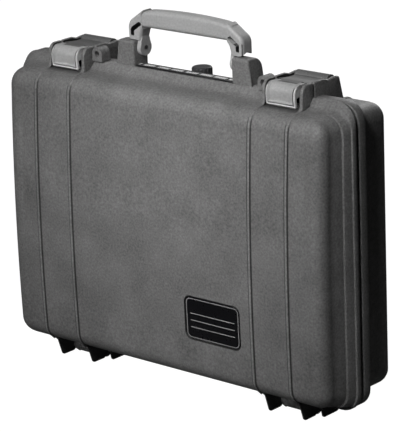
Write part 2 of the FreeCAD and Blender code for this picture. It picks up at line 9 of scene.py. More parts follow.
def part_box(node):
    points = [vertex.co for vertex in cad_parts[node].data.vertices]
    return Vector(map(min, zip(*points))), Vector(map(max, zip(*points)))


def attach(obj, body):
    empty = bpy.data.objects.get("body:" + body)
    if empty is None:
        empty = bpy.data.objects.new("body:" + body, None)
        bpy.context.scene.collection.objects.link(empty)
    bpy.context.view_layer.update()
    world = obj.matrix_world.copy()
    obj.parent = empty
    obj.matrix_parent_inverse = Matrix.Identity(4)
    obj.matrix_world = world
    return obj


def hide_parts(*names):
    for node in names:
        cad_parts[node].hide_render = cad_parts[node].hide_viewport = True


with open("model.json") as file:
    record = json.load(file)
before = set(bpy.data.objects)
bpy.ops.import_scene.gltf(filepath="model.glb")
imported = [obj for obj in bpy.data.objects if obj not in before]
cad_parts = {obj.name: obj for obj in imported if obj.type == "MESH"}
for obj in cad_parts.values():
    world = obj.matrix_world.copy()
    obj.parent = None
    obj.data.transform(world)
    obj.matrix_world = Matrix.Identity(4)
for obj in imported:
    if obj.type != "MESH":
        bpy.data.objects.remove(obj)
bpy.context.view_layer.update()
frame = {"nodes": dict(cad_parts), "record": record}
scene = bpy.context.scene
MM = 0.001

# Camera: a long lens, three quarters from the front right and a little above,
# turned a touch about its own axis as the photograph is.
azimuth = math.radians(41.395)
elevation = math.radians(17.206)
roll = math.radians(-2.271)
distance = 2.5003
aim = Vector((0.0079, 0.0, 0.1742))
focal_pixels = 2553.2
frame_pixels = 432
sensor = 36.0
clip_ratio = 20

right = Vector((math.cos(azimuth), math.sin(azimuth), 0))
back = Vector((math.sin(azimuth) * math.cos(elevation), -math.cos(azimuth) * math.cos(elevation),
               math.sin(elevation)))
up = back.cross(right)
turned_right = math.cos(roll) * right + math.sin(roll) * up
turned_up = math.cos(roll) * up - math.sin(roll) * right
camera_data = bpy.data.cameras.new("camera")
camera_data.sensor_width = sensor
camera_data.lens = focal_pixels / frame_pixels * sensor
camera_data.clip_start = distance / clip_ratio
camera_data.clip_end = distance * clip_ratio
camera = bpy.data.objects.new("camera", camera_data)
scene.collection.objects.link(camera)
camera.matrix_world = Matrix((turned_right, turned_up, back)).transposed().to_4x4()
camera.location = aim + distance * back
scene.camera = camera
scene.view_settings.view_transform = "Standard"

# Studio: three lamps with narrow beams in front, one high, one low and one to the left, a broad
# lamp behind, and an even white surround that the camera sees at full strength.
ambient = 0.018
white = (1, 1, 1, 1)
floor_reach = 6.0
floor_tone = (0.12, 0.12, 0.12, 1)
floor_roughness = 0.9
world = bpy.data.worlds.new("surround")
world.use_nodes = True
scene.world = world
sky_nodes = world.node_tree.nodes
sky_links = world.node_tree.links
sky_nodes["Background"].inputs["Color"].default_value = white
sky_nodes["Background"].inputs["Strength"].default_value = ambient
shown_sky = sky_nodes.new("ShaderNodeBackground")
shown_sky.inputs["Color"].default_value = white
sky_path = sky_nodes.new("ShaderNodeLightPath")
either_sky = sky_nodes.new("ShaderNodeMixShader")
sky_links.new(sky_path.outputs["Is Camera Ray"], either_sky.inputs[0])
sky_links.new(sky_nodes["Background"].outputs[0], either_sky.inputs[1])
sky_links.new(shown_sky.outputs[0], either_sky.inputs[2])
sky_links.new(either_sky.outputs[0], sky_nodes["World Output"].inputs["Surface"])


def lamp(name, place, size, watts, target, spread):
    """A square area lamp at a place, turned to face a target, its beam spread over an angle."""
    data = bpy.data.lights.new(name, "AREA")
    data.shape = "SQUARE"
    data.size = size
    data.energy = watts
    data.spread = math.radians(spread)
    made = bpy.data.objects.new(name, data)
    scene.collection.objects.link(made)
    made.location = place
    made.rotation_euler = (Vector(place) - Vector(target)).to_track_quat("Z", "Y").to_euler()


lamp("high", place=(0.5, -1.5, 1.9), size=0.4, watts=0.66, target=(0.03, -0.05, 0.26), spread=28)
lamp("front", place=(0.6, -2.2, 1.0), size=0.3, watts=0.25, target=(0.02, -0.05, 0.24), spread=18)
lamp("left", place=(-0.35, -1.3, 1.3), size=0.3, watts=0.26, target=(0, -0.05, 0.24), spread=26)
lamp("rear", place=(-0.6, 1.9, 1.1), size=0.8, watts=15, target=(0, 0.05, 0.2), spread=180)

floor_mesh = bpy.data.meshes.new("floor")
floor_mesh.from_pydata([(-floor_reach, -floor_reach, 0), (floor_reach, -floor_reach, 0),
                        (floor_reach, floor_reach, 0), (-floor_reach, floor_reach, 0)], [], [(0, 1, 2, 3)])
floor = bpy.data.objects.new("floor", floor_mesh)
scene.collection.objects.link(floor)
floor_paint = bpy.data.materials.new("floor")
floor_paint.use_nodes = True
floor_surface = floor_paint.node_tree.nodes["Principled BSDF"]
floor_surface.inputs["Base Color"].default_value = floor_tone
floor_surface.inputs["Roughness"].default_value = floor_roughness
floor_surface.inputs["Specular IOR Level"].default_value = 0
floor_surface.inputs["Emission Color"].default_value = white
floor_path = floor_paint.node_tree.nodes.new("ShaderNodeLightPath")
floor_paint.node_tree.links.new(floor_path.outputs["Is Camera Ray"], floor_surface.inputs["Emission Strength"])
floor_mesh.materials.append(floor_paint)


# Lid tray. The front half of the case, injection moulded in charcoal plastic with a fine pebble
# grain. Its face is slightly crowned, its sides fall away from the flange in narrow steps, its
# top slopes up to the flange, and a groove round the rim holds the gasket.
class Value:
    """A material socket that takes Python's operators; each one adds a Math node."""

    def __init__(self, finish, socket):
        self.finish = finish
        self.socket = socket

    def __add__(self, other):
        return self.finish.math("ADD", self, other)

    def __radd__(self, other):
        return self.finish.math("ADD", other, self)

    def __sub__(self, other):
        return self.finish.math("SUBTRACT", self, other)

    def __rsub__(self, other):
        return self.finish.math("SUBTRACT", other, self)

    def __mul__(self, other):
        return self.finish.math("MULTIPLY", self, other)

    def __rmul__(self, other):
        return self.finish.math("MULTIPLY", other, self)


class Finish:
    """One material: a Principled surface, and nodes that vary it by place on the object."""

    def __init__(self, name, slot, **constants):
        self.material = bpy.data.materials.new(name)
        self.material.use_nodes = True
        self.tree = self.material.node_tree
        self.surface = self.tree.nodes["Principled BSDF"]
        self.slot = slot
        for socket, value in constants.items():
            self.surface.inputs[socket.replace("_", " ")].default_value = value
        self.position = self.node("ShaderNodeTexCoord", {}, {}, "Object")

    def node(self, kind, settings, inputs, output=0):
        """Adds a node: its settings first, then its inputs' values or links; gives one output."""
        made = self.tree.nodes.new(kind)
        for setting, value in settings.items():
            setattr(made, setting, value)
        for name, value in inputs.items():
            if isinstance(value, Value):
                self.tree.links.new(value.socket, made.inputs[name])
            else:
                made.inputs[name].default_value = value
        return Value(self, made.outputs[output])

    def math(self, operation, *values):
        """A Math node on values or numbers."""
        return self.node("ShaderNodeMath", {"operation": operation}, dict(enumerate(values)))

    def noise(self, cells_per_metre, detail, stretch=(1, 1, 1)):
        """Soft noise from 0 to 1 with so many cells to a metre, drawn out along an axis."""
        place = self.node("ShaderNodeMapping", {}, {"Vector": self.position, "Scale": stretch})
        return self.node("ShaderNodeTexNoise", {},
                         {"Vector": place, "Scale": cells_per_metre, "Detail": detail})

    def along(self, axis):
        """One coordinate of the place on the object, in millimetres."""
        return self.node("ShaderNodeSeparateXYZ", {}, {"Vector": self.position}, axis) * (1 / MM)

    def off(self, value, middle=0):
        """How far a value lies from a middle, to either side."""
        return self.math("ABSOLUTE", value - middle)

    def step(self, value, low, high):
        """0 at low, 1 at high, and a smooth step between."""
        return self.node("ShaderNodeMapRange", {"interpolation_type": "SMOOTHSTEP"},
                         {"Value": value, "From Min": low, "From Max": high})

    def shaded(self, tone, amount):
        """A colour times a number."""
        return self.node("ShaderNodeVectorMath", {"operation": "SCALE"}, {0: tone, "Scale": amount})

    def blend(self, amount, first, second):
        """A colour between two colours."""
        return self.node("ShaderNodeMix", {"data_type": "RGBA"}, {0: amount, 6: first, 7: second}, 2)

    def plate_distance(self, low, high, corner):
        """How far a place lies outside a rounded rectangle between two corners, seen along Y:
        hypot(max(|x| - half width + corner, 0), max(|z| - half height + corner, 0)) - corner."""
        over = []
        for axis in ("x", "z"):
            middle = (getattr(low, axis) + getattr(high, axis)) / 2
            reach = (getattr(high, axis) - getattr(low, axis)) / 2 - corner
            over.append(self.math("MAXIMUM", self.off(self.along(axis.upper()), middle) - reach, 0))
        return self.math("SQRT", over[0] * over[0] + over[1] * over[1]) - corner

    def use(self, socket, value):
        """Feeds one of the surface's sockets."""
        self.tree.links.new(value.socket, self.surface.inputs[socket])

    def raise_by(self, height, depth):
        """Turns a height from 0 to 1 into a bump of a depth in millimetres."""
        self.use("Normal", self.node("ShaderNodeBump", {}, {"Height": height, "Distance": depth * MM}))


cloud_share = 0.9
speckle_share = 1.5
scuff_share = 0.1
sheen_share = 0.12
scuff_start_share = 0.68
scuff_full_share = 0.74


def moulded(name, slot, tone, roughness, mottle, grain, marks=None):
    """Moulded plastic: colour = tone x (1 + mottle x soft cloud + a fine speckle), pale where a thin
    drawn-out noise passes a threshold as a scuff, times its marks, with a pebble bump of a grain depth;
    the ribbed trays' marks are painted shade and painted highlight, the handle slots' painted shade."""
    finish = Finish(name, slot)
    cloud = finish.noise(cells_per_metre=30.0, detail=6.0)
    speckle = finish.noise(cells_per_metre=480.0, detail=3.0)
    drawn = finish.noise(cells_per_metre=60.0, detail=3.0, stretch=(1, 1, 4))
    scuff = scuff_share * finish.step(drawn, scuff_start_share, scuff_full_share)
    shade = 1 + cloud_share * mottle * (cloud - 0.5) + speckle_share * mottle * (speckle - 0.5) + scuff
    if marks:
        shade = shade * marks(finish)
    finish.use("Base Color", finish.shaded(tone, shade))
    finish.use("Roughness", roughness + sheen_share * (cloud - 0.5) + scuff)
    finish.raise_by(finish.noise(cells_per_metre=1500.0, detail=1.0), grain)
    return finish


def tray_rings(rows, x_shares, z_shares, turns=6):
    """Rounded rectangles stacked along Y. A row is (half width, bottom, top, corner radius, y). Each
    ring runs right along the bottom, up the right side, left along the top and down the left side;
    the shares, from -1 to 1, divide its straight stretches, and equal angles its corners."""
    half, low, high, corner, y = (np.array(column, float)[:, None] for column in zip(*rows))
    flat = half - corner
    middle = (low + high) / 2
    tall = (high - low) / 2 - corner
    bend = np.linspace(0, math.pi / 2, turns + 2)[None, 1:-1]
    across = corner * np.sin(bend)
    short = corner * np.cos(bend)
    xs = x_shares[None, :]
    zs = z_shares[None, :]
    x = np.hstack((flat * xs, flat + across, half + 0 * zs, flat + short, flat * xs[:, ::-1], -flat - across,
                   -half + 0 * zs, -flat - short))
    z = np.hstack((low + 0 * xs, middle - tall - short, middle + tall * zs, middle + tall + across,
                   high + 0 * xs, middle + tall + short, middle + tall * zs[:, ::-1], middle - tall - across))
    return np.stack((x, y + 0 * x, z), axis=-1)


def grid_faces(rows, columns, ring=True, loop=False, first=0):
    """Quads of a grid of points: columns close on themselves in a ring, rows close in a loop."""
    index = first + np.arange(rows * columns).reshape(rows, columns)
    if ring:
        index = np.hstack((index, index[:, :1]))
    if loop:
        index = np.vstack((index, index[:1]))
    return np.stack((index[:-1, :-1], index[:-1, 1:], index[1:, 1:], index[1:, :-1]), axis=-1).reshape(-1, 4)


def capped(points):
    """A form of (points, faces, caps): rings of points, with the first and the last one as caps."""
    rings, around = points.shape[:2]
    index = np.arange(rings * around).reshape(rings, around)
    return points, grid_faces(rings, around), [index[0], index[-1]]


def fronted(rings_points, front):
    """A form of rings of points: a grid of points closes the first ring, and a cap the last one."""
    rings, around = rings_points.shape[:2]
    points = np.concatenate((rings_points.reshape(-1, 3), front.reshape(-1, 3)))
    front_faces = grid_faces(*front.shape[:2], ring=False, first=rings * around)
    faces = np.concatenate((grid_faces(rings, around), front_faces))
    return points, faces, [np.arange((rings - 1) * around, rings * around)]


merge_distance = 0.01


def piece(name, form, body, finish, replaced=(), crease=32):
    """A closed mesh from a form in millimetres: quads shaded smooth between creases, caps flat."""
    points, faces, caps = form
    mesh = bpy.data.meshes.new(name)
    mesh.from_pydata((points.reshape(-1, 3) * MM).tolist(), [], faces.tolist() + [cap.tolist() for cap in caps])
    work = bmesh.new()
    work.from_mesh(mesh)
    bmesh.ops.remove_doubles(work, verts=work.verts, dist=merge_distance * MM)
    bmesh.ops.recalc_face_normals(work, faces=work.faces)
    work.to_mesh(mesh)
    work.free()
    sides = np.empty(len(mesh.polygons), int)
    mesh.polygons.foreach_get("loop_total", sides)
    mesh.polygons.foreach_set("use_smooth", sides <= 4)
    mesh.set_sharp_from_angle(angle=math.radians(crease))
    made = bpy.data.objects.new(name, mesh)
    scene.collection.objects.link(made)
    made.data.materials.append(finish.material)
    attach(made, body)
    if replaced:
        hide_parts(*replaced)
    return made


def cad(node):
    """A CAD node's lowest and highest corner at rest, in millimetres."""
    low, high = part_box(node)
    return low / MM, high / MM


joints = {joint["name"]: Vector(joint["pos_m"]) / MM for joint in frame["record"]["behaviour"]["joints"]}
parting_y = joints["lid_hinge"].y
hinge_z = joints["lid_hinge"].z
front_y = cad("lid_shell")[0].y
back_y = cad("base_shell")[1].y
flange_half = cad("lid_shell")[1].x
guard_top = cad("lid_shell")[1].z
flange_top = cad("valve_strip")[0].z
latch_x = joints["right_latch_swing"].x
rim_gap = 0.3
rib_rise = 1.6
wall = 5.0
stand_height = 26.0
flange_side = 10.0
flange_drop = 9.0
flange_corner = 20.0
lid_slope_drop = 11.2
lid_slope_depth = 28.7
corner_loss = 2.6
cavity_half = 196.0
cavity_floor = 31.0
cavity_top = 301.0
cavity_corner = 11.0
groove_inset = 2.1
groove_width = 3.0
groove_depth = 7.0
inner_rounding = 9.0
side_rounding = 13.0
bay_half = 20.1
bay_line = 21.4
bay_line_half = 0.5
bay_floor = 310.0
knuckle_relief = 9.0
crown_height = 126.6
crown_span = 142.0
crown_fall = 4.4
crown_start_y = -16.0
body_half = flange_half - flange_side
flange_floor = stand_height - flange_drop
lid_rim_y = parting_y - rim_gap
base_rim_y = parting_y + rim_gap
lid_face_y = front_y + rib_rise
base_face_y = back_y - rib_rise
inner_face_y = lid_face_y + wall


def crowned(points):
    """The lid's lean: a point moves back by fall x ((height - crown height) / span)^2, times how far
    it lies in front of the place where the crown starts."""
    moved = points.copy()
    weight = np.clip((crown_start_y - points[..., 1]) / (crown_start_y - lid_face_y), 0, None)
    moved[..., 1] += weight * crown_fall * ((points[..., 2] - crown_height) / crown_span) ** 2
    return moved


def relieved(points, bay_level):
    """Room for the latches and hinges: between the guards the top is cut down to a level, and
    between the fins nothing lies nearer the hinge's axis than its knuckles need."""
    cleared = points.copy()
    beside = np.abs(np.abs(points[..., 0]) - latch_x) < bay_line
    cleared[..., 2] = np.where(beside, np.minimum(cleared[..., 2], bay_level), cleared[..., 2])
    ahead = points[..., 1] - parting_y
    lift = hinge_z + np.sqrt(np.clip(knuckle_relief ** 2 - ahead ** 2, 0, None))
    near = beside & (np.abs(ahead) < knuckle_relief) & (cleared[..., 2] < lift)
    cleared[..., 2] = np.where(near, lift, cleared[..., 2])
    return cleared


def cavity_row(outward, y, shrink=0.0):
    """The ring of the inner wall, moved outward, or shrunk by its front rounding."""
    out = outward - shrink
    return (cavity_half + out, cavity_floor - out, cavity_top + out, max(cavity_corner + out, 0), y)


def quarter(count):
    """Shares of a quarter round: how far in and how far along, at equal angles."""
    angles = np.linspace(0, math.pi / 2, count)
    return list(zip(1 - np.cos(angles), np.sin(angles)))


# rows of (side share, top share, depth share) from the rim to the start of the front rounding
lid_slope_shares = [(0.11, 0.06, 0), (0.03, 0.02, 0.02), (0, 0.02, 0.045), (0, 0.2, 0.11),
                    (0.02, 0.42, 0.185), (0.05, 0.49, 0.212), (0.21, 0.53, 0.227), (0.26, 0.69, 0.303),
                    (0.33, 0.78, 0.41), (0.44, 0.85, 0.52), (0.47, 0.86, 0.54), (0.66, 0.865, 0.552),
                    (0.74, 0.89, 0.68), (0.87, 0.94, 0.86), (1, 1, 1)]
lid_rows = []
for side_share, top_share, depth_share in lid_slope_shares:
    lid_rows.append((flange_half - flange_side * side_share, flange_floor + flange_drop * side_share,
                     flange_top - lid_slope_drop * top_share, flange_corner - corner_loss * side_share,
                     lid_rim_y - lid_slope_depth * depth_share))
start_half, start_floor, start_top, start_corner, start_y = lid_rows[-1]
front_rounding = start_y - lid_face_y
for inward, along in quarter(11):
    inset = front_rounding * inward
    short = np.clip(1 - front_rounding * (1 - along) / side_rounding, 0, 1)
    side_inset = side_rounding * (1 - math.sqrt(1 - short ** 2))
    lid_rows.append((start_half - side_inset, start_floor + inset, start_top - inset,
                     max(start_corner - inset, 0), start_y - front_rounding * along))
face_half, face_floor, face_top, _, face_y = lid_rows[-1]
lid_rows[-1] = (face_half, face_floor, face_top, 0, face_y)
# the rings run from the face's edge back to the rim, over the gasket's groove and into the tray
lid_rows = lid_rows[::-1]
groove_floor_y = lid_rim_y - groove_depth
lid_rows += [cavity_row(groove_inset + groove_width, lid_rim_y),
             cavity_row(groove_inset + groove_width, groove_floor_y),
             cavity_row(groove_inset, groove_floor_y), cavity_row(groove_inset, lid_rim_y),
             cavity_row(0, lid_rim_y)]
for inward, along in quarter(5):
    lid_rows.append(cavity_row(0, inner_face_y + inner_rounding - inner_rounding * along,
                               inner_rounding * inward))

plate_low_growth = Vector((-2.2, 0, -1.8))
plate_high_growth = Vector((0.3, 0, 3.4))
plate_low, plate_high = cad("nameplate")
plate_low += plate_low_growth
plate_high += plate_high_growth
plate_corner = 6.5
recess_margin = 0.6
recess_depth = 1.4
recess_corner = plate_corner + recess_margin
recess_edge = 0.5
edge_dip = 0.7
edge_dip_place = 7.0
edge_dip_reach = 2.8
edge_dip_fade = 12.0
dense_reach = 8.5
coarse = 7.5
fine = 0.5
closest = 0.1


def share_lines(low, high, marks, extra=()):
    """Dividing lines from -1 to 1 over a stretch: even coarse ones, and fine ones round the marks."""
    even = np.linspace(low, high, int((high - low) / coarse))
    close = [np.arange(mark - dense_reach, mark + dense_reach, fine) for mark in marks]
    lines = np.round(np.concatenate([even, np.array(extra)] + close), 3)
    lines = np.unique(np.clip(lines, low, high))
    lines = lines[np.append(np.diff(lines) > closest, True)]
    return (2 * lines - low - high) / (high - low)


bay_lines = [side * (latch_x + end * (bay_line + offset)) * face_half / (flange_half - flange_corner)
             for side in (-1, 1) for end in (-1, 1) for offset in (-bay_line_half, bay_line_half)]
x_shares = share_lines(-face_half, face_half, (plate_low.x, plate_high.x, -face_half, face_half), bay_lines)
z_shares = share_lines(face_floor, face_top, (plate_low.z, plate_high.z))
lid_points = crowned(relieved(tray_rings(lid_rows, x_shares, z_shares), bay_floor))

# the face closes the first ring: a grid that sinks for the plate and dips just inside its sides
face_x = face_half * x_shares[None, :]
face_z = (face_floor + face_top) / 2 + (face_top - face_floor) / 2 * z_shares[:, None]
plate_middle = (plate_low + plate_high) / 2
plate_reach = (plate_high - plate_low) / 2
beyond_x = np.abs(face_x - plate_middle.x) - plate_reach.x - recess_margin + recess_corner
beyond_z = np.abs(face_z - plate_middle.z) - plate_reach.z - recess_margin + recess_corner
outside = np.hypot(np.clip(beyond_x, 0, None), np.clip(beyond_z, 0, None)) - recess_corner
sunk = np.clip(0.5 - outside / recess_edge, 0, 1)
face_points = np.stack((face_x + 0 * face_z, lid_face_y + 0 * sunk, face_z + 0 * face_x), axis=-1)
face_points = crowned(face_points)
face_points[..., 1] += recess_depth * sunk
to_side = face_half - np.abs(face_x)
to_end = np.minimum(face_z - face_floor, face_top - face_z)
dip = edge_dip * np.exp(-((to_side - edge_dip_place) / edge_dip_reach) ** 2)
face_points[..., 1] += dip * np.clip(to_end / edge_dip_fade, 0, 1)

rib_pitch = 44.6
rib_crest_half = 0.9
rib_foot_half = 2.7
rib_line_edge = 0.5
rib_foot_shade_share = 0.8
rib_crest_highlight_share = 0.25
broad_face_start = 40.0
broad_face_full = 47.0
lines_full_z = 296.0
lines_end_z = 304.0
dark_bay_half = 20.4
dark_bay_edge = 0.6
dark_bay_start_z = 306.5
dark_bay_full_z = 309.0
dark_fin_full_z = 22.0
dark_fin_start_z = 26.5
dark_recess_reach = 1.2
dark_recess_edge = 0.5
painted_shade_share = 0.9


def rib_shade_and_highlight(finish):
    """Painted shade beside each rib's crest as a dark line and a painted highlight on the crest itself,
    on the two broad faces below the guards; painted shade also darkens the latch bays, everything
    below about 26 mm where the fins hang, and the plate's recess."""
    beside = finish.off(finish.off(finish.along("X")), latch_x)
    aside = finish.off(beside, rib_pitch / 2)
    broad = finish.step(finish.off(finish.along("Y")), broad_face_start, broad_face_full)
    below = 1 - finish.step(finish.along("Z"), lines_full_z, lines_end_z)
    foot = finish.step(aside, rib_crest_half, rib_crest_half + rib_line_edge)
    clear = finish.step(aside, rib_foot_half - rib_line_edge, rib_foot_half + rib_line_edge)
    # painted highlight on each rib's crest and painted shade along its feet, on the broad faces
    lines = 1 + ((1 - foot) * rib_crest_highlight_share - foot * (1 - clear) * rib_foot_shade_share) * broad * below
    # painted shade inside the latch bays, from just below their floor upward
    bay = finish.step(beside, dark_bay_half + dark_bay_edge, dark_bay_half)
    above = finish.step(finish.along("Z"), dark_bay_start_z, dark_bay_full_z)
    # painted shade low down: the fins and the trays' undersides darker below about 26 mm
    fins = finish.step(finish.along("Z"), dark_fin_start_z, dark_fin_full_z)
    # painted shade in a ring round the nameplate, inside its recess on the lid's face
    around_plate = finish.plate_distance(plate_low, plate_high, plate_corner)
    in_front = finish.step(finish.along("Y"), -broad_face_start, -broad_face_full)
    recess = finish.step(around_plate, dark_recess_reach + dark_recess_edge, dark_recess_reach) * in_front
    # all the painted shade together: the latch bays, the low fins and the plate's recess
    painted_shade = finish.math("MAXIMUM", finish.math("MAXIMUM", bay * above, fins), recess)
    return lines * (1 - painted_shade_share * painted_shade)


shell_look = {"tone": (0.166, 0.165, 0.164), "roughness": 0.52, "mottle": 0.9, "grain": 0.25}
shell = moulded("charcoal_plastic", "shell", **shell_look)
ribbed_shell = moulded("charcoal_plastic_ribbed", "shell", **shell_look, marks=rib_shade_and_highlight)
piece("lid_tray", fronted(lid_points, face_points), "lid", ribbed_shell, replaced=["lid_shell"])


# Ribs, latch guards and fins. Four thin webs of the same moulding run over each half: a guard
# beside each latch, a rib with a rounded crest down the face, and a fin at each hinge, where
# the lid's and the base's fins lap each other at half their thickness.
points_per_radian = 5
tiny = 1e-9


def outline(corners, stride):
    """A closed outline through (y, z, rounding) corners: arcs at the roundings, and points at a
    stride along the straight stretches."""
    places = [np.array(corner[:2], float) for corner in corners]
    run = []
    for number, corner in enumerate(corners):
        here = places[number]
        before = places[number - 1] - here
        after = places[(number + 1) % len(corners)] - here
        before /= np.linalg.norm(before)
        after /= np.linalg.norm(after)
        radius = corner[2]
        if radius == 0:
            run.append(here[None, :])
            continue
        half_angle = math.acos(np.clip(before @ after, -1, 1)) / 2
        tangent = radius / math.tan(half_angle)
        middle = (before + after) / np.linalg.norm(before + after)
        centre = here + middle * radius / math.sin(half_angle)
        entry = here + before * tangent - centre
        leave = here + after * tangent - centre
        turn = math.pi - 2 * half_angle
        parts = np.linspace(0, 1, 2 + int(turn * points_per_radian))[:, None]
        swung = np.sin((1 - parts) * turn) * entry + np.sin(parts * turn) * leave
        run.append(centre + swung / math.sin(turn))
    corners_run = np.concatenate(run)
    ahead = np.roll(corners_run, -1, axis=0)
    pieces = []
    for start, end in zip(corners_run, ahead):
        count = max(int(np.linalg.norm(end - start) / stride), 1)
        pieces.append(start + (end - start) * np.arange(count)[:, None] / count)
    return np.concatenate(pieces)


def plate(shape, start, end, edge, turns=4):
    """A plate of one outline between two levels of X, its rim a quarter round: at each angle the
    outline lies in by edge x (1 - sin) and the level by edge x (1 - cos)."""
    ahead = np.roll(shape, -1, axis=0) - shape
    ahead /= np.linalg.norm(ahead, axis=1)[:, None] + tiny
    behind = np.roll(ahead, 1, axis=0)
    area = np.sum(shape[:, 0] * np.roll(shape[:, 1], -1) - np.roll(shape[:, 0], -1) * shape[:, 1])
    mean = ahead + behind
    mean /= np.linalg.norm(mean, axis=1)[:, None] + tiny
    inward = np.stack((-mean[:, 1], mean[:, 0]), axis=-1) * math.copysign(1, area)
    angles = np.linspace(0, math.pi / 2, turns)
    insets = edge * (1 - np.sin(angles))
    levels = start + edge * (1 - np.cos(angles))
    insets = np.concatenate((insets, insets[::-1]))
    levels = np.concatenate((levels, start + end - levels[::-1]))
    flat = shape[None, :, :] + inward[None, :, :] * insets[:, None, None]
    x = np.broadcast_to(levels[:, None, None], flat.shape[:2] + (1,))
    return capped(np.concatenate((x, flat), axis=-1))


def merged(forms):
    """Several forms as one."""
    first = 0
    points = []
    faces = []
    caps = []
    for form_points, form_faces, form_caps in forms:
        points.append(form_points.reshape(-1, 3))
        faces.append(form_faces + first)
        caps += [cap + first for cap in form_caps]
        first += len(points[-1])
    return np.concatenate(points), np.concatenate(faces), caps


rib_width = 4.4
rib_edge = 1.9
rib_crest = 1.1
guard_reach = 20.4
guard_nose = 10.0
guard_rounding = 2.2
guard_foot_rise = 1.2
guard_foot_rounding = 4.0
step_rounding = 3.0
web_depth = 1.4
web_corner = 8.0
web_top_corner = 9.0
web_stride = 5.0
skin = 0.05
lid_web_step = 2.5
base_web_depth = 14.0
base_web_step = 2.0
back_rounding = 14.0
fin_edge = 0.5
lap_gap = 0.15
lid_fin_root = 32.0
lid_fin_front = 25.5
lid_fin_back = 7.0
lid_fin_floor = 4.6
lid_fin_nose = 4.0
fin_rounding = 3.0
fin_seat = 9.0
fin_seat_step = 2.0
base_fin_root = 36.0
base_fin_back = 27.0
base_fin_front = 2.0
base_fin_rise = 7.0
base_fin_nose = 7.0
guard_front_y = parting_y - guard_reach
lid_web_rim = lid_rim_y + skin
base_web_rim = base_rim_y - skin
rib_floor = stand_height - rib_crest
rib_top = start_top + rib_crest
base_rib_top = cavity_top + wall + rib_crest
lid_crest_y = lid_face_y - rib_crest
base_crest_y = base_face_y + rib_crest
buried_top = cavity_top + web_depth
buried_floor = cavity_floor - web_depth
over_groove = cavity_top + wall + lid_web_step
lid_root_y = parting_y - lid_fin_root
base_root_y = parting_y + base_fin_root
lid_inner_y = inner_face_y - web_depth
base_inner_y = base_face_y - wall + web_depth
# places along the base's guard: (behind the parting, below the guard's top)
guard_steps = [(15.0, 0), (22.0, 2.0), (32.0, 1.0), (39.0, 2.0)]
guard_end = 45.0
lid_web = outline([
    (lid_web_rim, guard_top, guard_rounding),
    (guard_front_y, guard_top, guard_nose),
    (guard_front_y, rib_top + guard_foot_rise, guard_foot_rounding),
    (start_y, rib_top, 0),
    (lid_crest_y, rib_top, front_rounding + rib_crest),
    (lid_crest_y, rib_floor, front_rounding + rib_crest),
    (lid_root_y, rib_floor, 0),
    (lid_root_y, buried_floor, 0),
    (lid_inner_y, buried_floor, web_corner),
    (lid_inner_y, buried_top, web_top_corner),
    (lid_rim_y - 2 * wall, buried_top, 0),
    (lid_rim_y - wall - lid_web_step, over_groove, 0),
    (lid_web_rim, over_groove, 0),
], web_stride)
lid_fin = outline([
    (lid_root_y, buried_floor, 0),
    (lid_root_y, rib_floor, 0),
    (parting_y - lid_fin_front, lid_fin_floor, lid_fin_nose),
    (parting_y - lid_fin_back, lid_fin_floor, fin_rounding),
    (lid_rim_y, hinge_z, 0),
    (lid_rim_y, flange_floor + wall, 0),
    (lid_rim_y - fin_seat, flange_floor + wall, 0),
    (lid_rim_y - fin_seat - fin_seat_step, buried_floor, 0),
], web_stride)
base_web = outline([
    (base_web_rim, guard_top, guard_rounding),
    *((parting_y + behind, guard_top - below, step_rounding) for behind, below in guard_steps),
    (parting_y + guard_end, base_rib_top, 0),
    (base_crest_y, base_rib_top, back_rounding + rib_crest),
    (base_crest_y, rib_floor, back_rounding + rib_crest),
    (base_root_y, rib_floor, 0),
    (base_root_y, buried_floor, 0),
    (base_inner_y, buried_floor, web_corner),
    (base_inner_y, buried_top, web_corner),
    (base_rim_y + base_web_depth + base_web_step, buried_top, 0),
    (base_rim_y + base_web_depth, over_groove, 0),
    (base_web_rim, over_groove, 0),
], web_stride)
base_fin = outline([
    (base_root_y, buried_floor, 0),
    (base_root_y, rib_floor, 0),
    (parting_y + base_fin_back, 0, base_fin_nose),
    (parting_y + base_fin_front, 0, fin_rounding),
    (base_rim_y, base_fin_rise, 0),
    (base_rim_y, buried_floor, 0),
], web_stride)
rib_centres = [latch_x - rib_pitch / 2, latch_x + rib_pitch / 2]
lid_webs = []
base_webs = []
for side in (-1, 1):
    for centre, outer in zip(rib_centres, (-1, 1)):
        middle_x = side * centre
        away = side * outer
        lid_webs.append(plate(lid_web, middle_x - rib_width / 2, middle_x + rib_width / 2, rib_edge))
        base_webs.append(plate(base_web, middle_x - rib_width / 2, middle_x + rib_width / 2, rib_edge))
        inner_half = sorted((middle_x - away * lap_gap, middle_x - away * rib_width / 2))
        outer_half = sorted((middle_x + away * lap_gap, middle_x + away * rib_width / 2))
        lid_webs.append(plate(lid_fin, *inner_half, fin_edge))
        base_webs.append(plate(base_fin, *outer_half, fin_edge))
points, faces, caps = merged(lid_webs)
piece("lid_ribs", (crowned(points), faces, caps), "lid", ribbed_shell)
piece("base_ribs", merged(base_webs), "base", ribbed_shell)


# Hinge knuckles. Barrels of the same moulding that stand in turn on the base and on the lid
# along each steel hinge pin, with rounded ends.
knuckle_radius = 8.0
knuckle_gap = 0.3
knuckles_per_hinge = 5
knuckle_edge = 0.7
knuckle_sides = 40


def barrel(centre_y, centre_z, start, end, radius, edge):
    """A round bar along X with a quarter round at both ends: a circle at each (place, radius)."""
    stations = [(start + edge * inward, radius - edge + edge * out) for inward, out in quarter(4)]
    stations += [(start + end - place, size) for place, size in stations[::-1]]
    place, size = (np.array(column, float)[:, None] for column in zip(*stations))
    angle = np.linspace(0, 2 * math.pi, knuckle_sides, endpoint=False)[None, :]
    y = centre_y + size * np.cos(angle)
    z = centre_z + size * np.sin(angle)
    return capped(np.stack((place + 0 * y, y, z), axis=-1))


